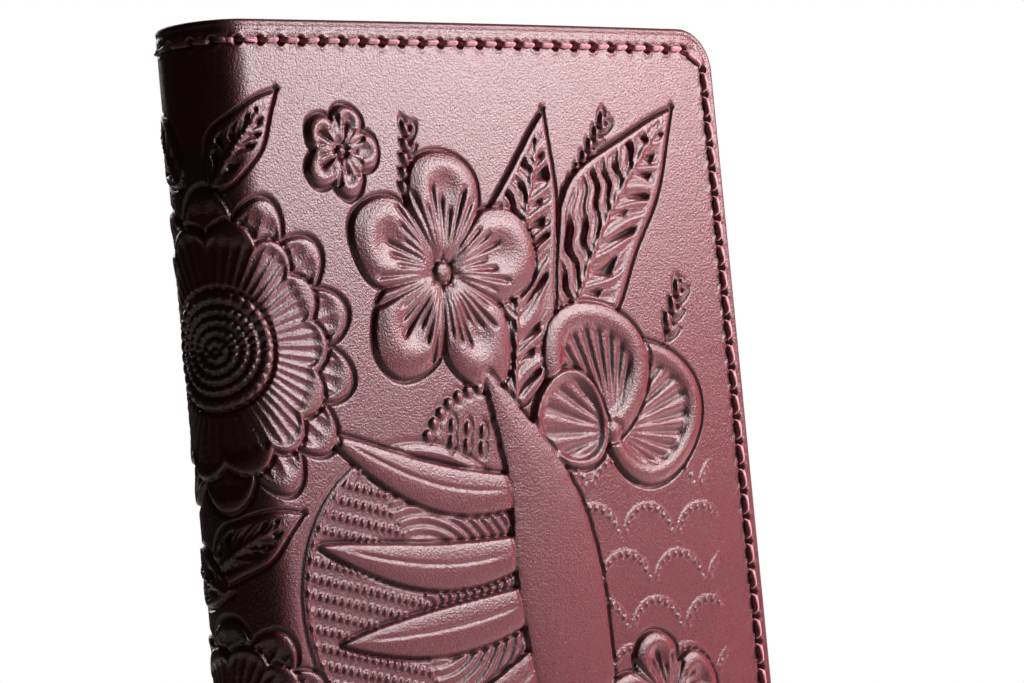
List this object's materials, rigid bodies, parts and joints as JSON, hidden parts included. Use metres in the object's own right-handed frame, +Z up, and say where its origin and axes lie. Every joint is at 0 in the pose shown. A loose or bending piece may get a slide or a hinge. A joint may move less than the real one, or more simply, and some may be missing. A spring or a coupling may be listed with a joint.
{
  "type": "passport cover",
  "caption": "Bifold leather passport cover with a pressed floral relief and a hand-sewn seam, standing ajar, with inner pockets for the passport and cards.",
  "frame": {"origin": "middle of the bottom of the cover as it stands ajar, on the surface it stands on", "axes": "+Z up along the spine, -X at the spine and +X at the fore-edges, -Y towards the front cover's side"},
  "size_m": [0.0922, 0.0512, 0.136],
  "materials": {
    "hide": "burgundy vegetable-tanned leather, semi-gloss, pressed relief",
    "lining": "thin split leather, matt and napped",
    "pocket": "smooth burgundy leather, satin",
    "thread": "waxed two-ply thread"
  },
  "bodies": {
    "front_cover": {"front_cover_hide": "hide", "front_cover_lining": "lining", "front_passport_pocket": "pocket", "front_cover_thread": "thread"},
    "spine_front": {"spine_front_hide": "hide", "spine_front_lining": "lining", "spine_front_thread": "thread"},
    "spine_middle": {"spine_middle_hide": "hide", "spine_middle_lining": "lining", "spine_middle_thread": "thread"},
    "spine_back": {"spine_back_hide": "hide", "spine_back_lining": "lining", "spine_back_thread": "thread"},
    "back_cover": {"back_cover_hide": "hide", "back_cover_lining": "lining", "back_passport_pocket": "pocket", "upper_card_pocket": "pocket", "lower_card_pocket": "pocket", "card_pocket_thread": "thread", "back_cover_thread": "thread"}
  },
  "joints": [
    {"name": "front_spine_fold", "type": "hinge", "parent": "spine_middle", "child": "spine_front", "pos_m": [-0.04492, -0.00325, 0], "axis": [0, 0, -1], "range_deg": [-6, 39]},
    {"name": "front_cover_fold", "type": "hinge", "parent": "spine_front", "child": "front_cover", "pos_m": [-0.03991, -0.00737, 0], "axis": [0, 0, -1], "range_deg": [-6, 39]},
    {"name": "back_spine_fold", "type": "hinge", "parent": "spine_middle", "child": "spine_back", "pos_m": [-0.04492, 0.00325, 0], "axis": [0, 0, 1], "range_deg": [-6, 39]},
    {"name": "back_cover_fold", "type": "hinge", "parent": "spine_back", "child": "back_cover", "pos_m": [-0.03991, 0.00737, 0], "axis": [0, 0, 1], "range_deg": [-6, 39]}
  ],
  "couplings": [
    {"joint": "front_cover_fold", "follows": "front_spine_fold", "ratio": 1},
    {"joint": "back_spine_fold", "follows": "front_spine_fold", "ratio": 1},
    {"joint": "back_cover_fold", "follows": "front_spine_fold", "ratio": 1}
  ]
}
